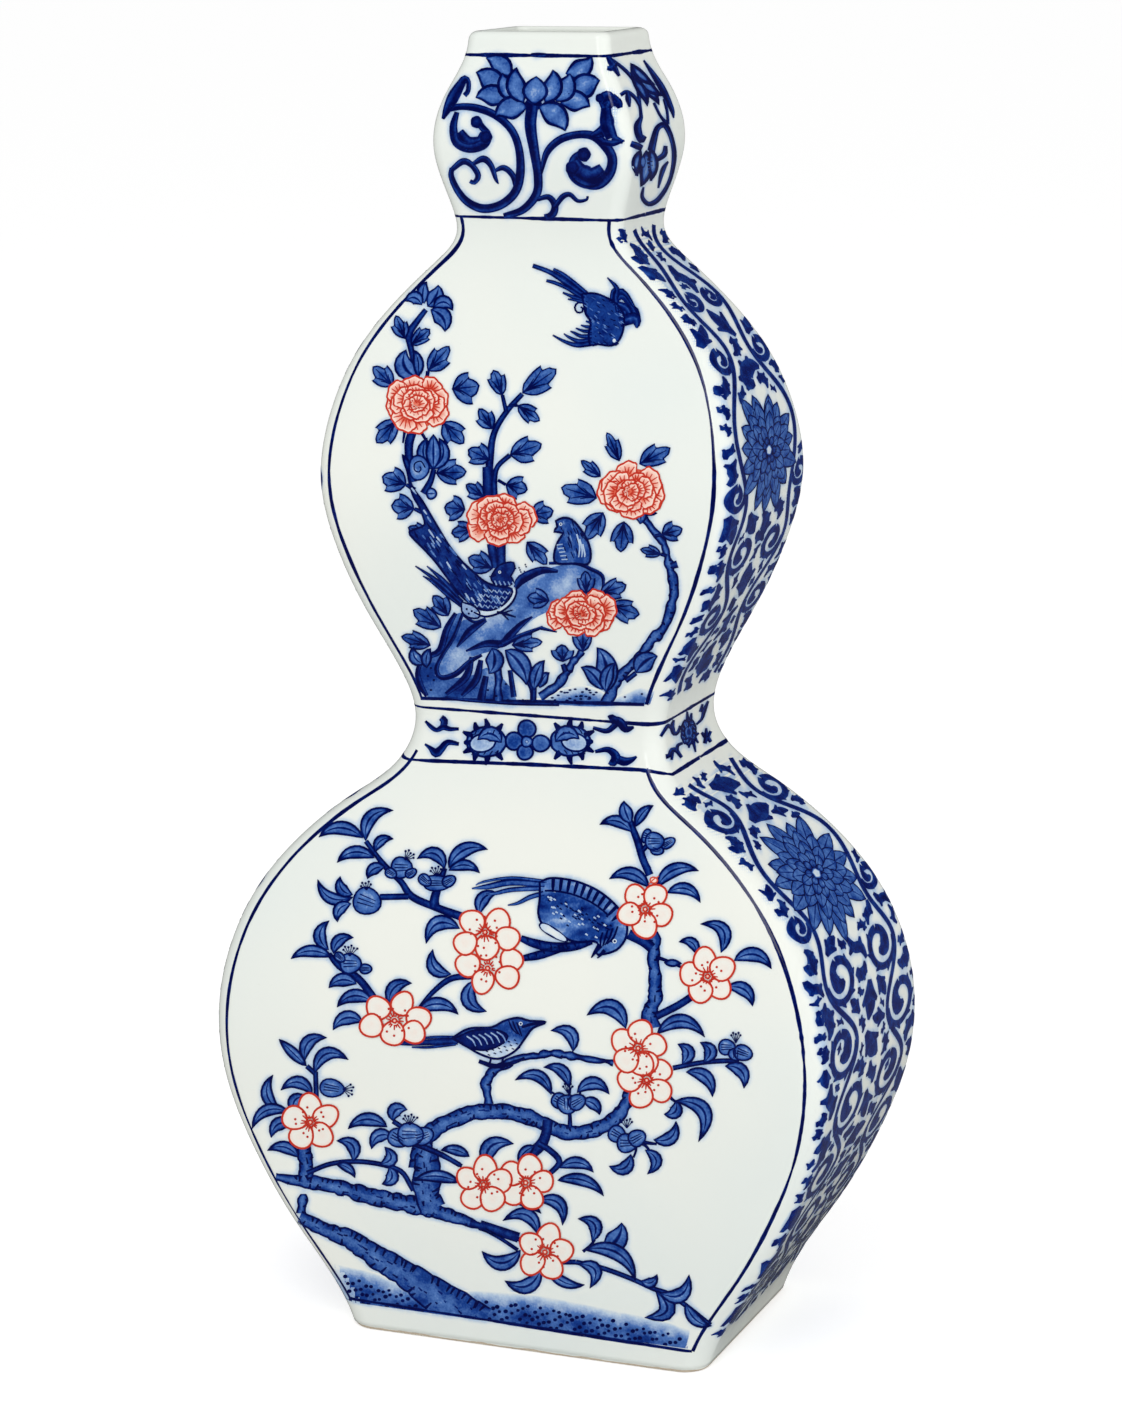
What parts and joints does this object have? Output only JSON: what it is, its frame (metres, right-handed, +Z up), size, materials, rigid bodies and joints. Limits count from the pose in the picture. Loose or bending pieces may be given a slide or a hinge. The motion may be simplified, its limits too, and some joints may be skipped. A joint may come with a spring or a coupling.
{
  "type": "double gourd vase",
  "caption": "Rectangular double gourd vase in painted white porcelain: wide lower lobe, smaller middle lobe, small mouth bulb with a short lip, and a flat foot to stand on.",
  "frame": {"origin": "middle of the standing face of the foot rim", "axes": "+Z up, +X to the right across the front, the front panel faces -Y"},
  "size_m": [0.213, 0.1074, 0.43],
  "materials": {
    "painted_glaze": "glossy clear glaze over white porcelain with blue and iron red painting",
    "foot_porcelain": "glazed porcelain with a bare, slightly sandy standing edge"
  },
  "bodies": {
    "root": {"foot_rim": "foot_porcelain", "base_slab": "foot_porcelain", "lower_front_slab": "painted_glaze", "lower_back_slab": "painted_glaze", "lower_left_slab": "painted_glaze", "lower_right_slab": "painted_glaze", "waist_collar": "painted_glaze", "middle_front_slab": "painted_glaze", "middle_back_slab": "painted_glaze", "middle_left_slab": "painted_glaze", "middle_right_slab": "painted_glaze", "bulb_front_slab": "painted_glaze", "bulb_back_slab": "painted_glaze", "bulb_left_slab": "painted_glaze", "bulb_right_slab": "painted_glaze", "mouth_rim": "painted_glaze"}
  },
  "joints": []
}
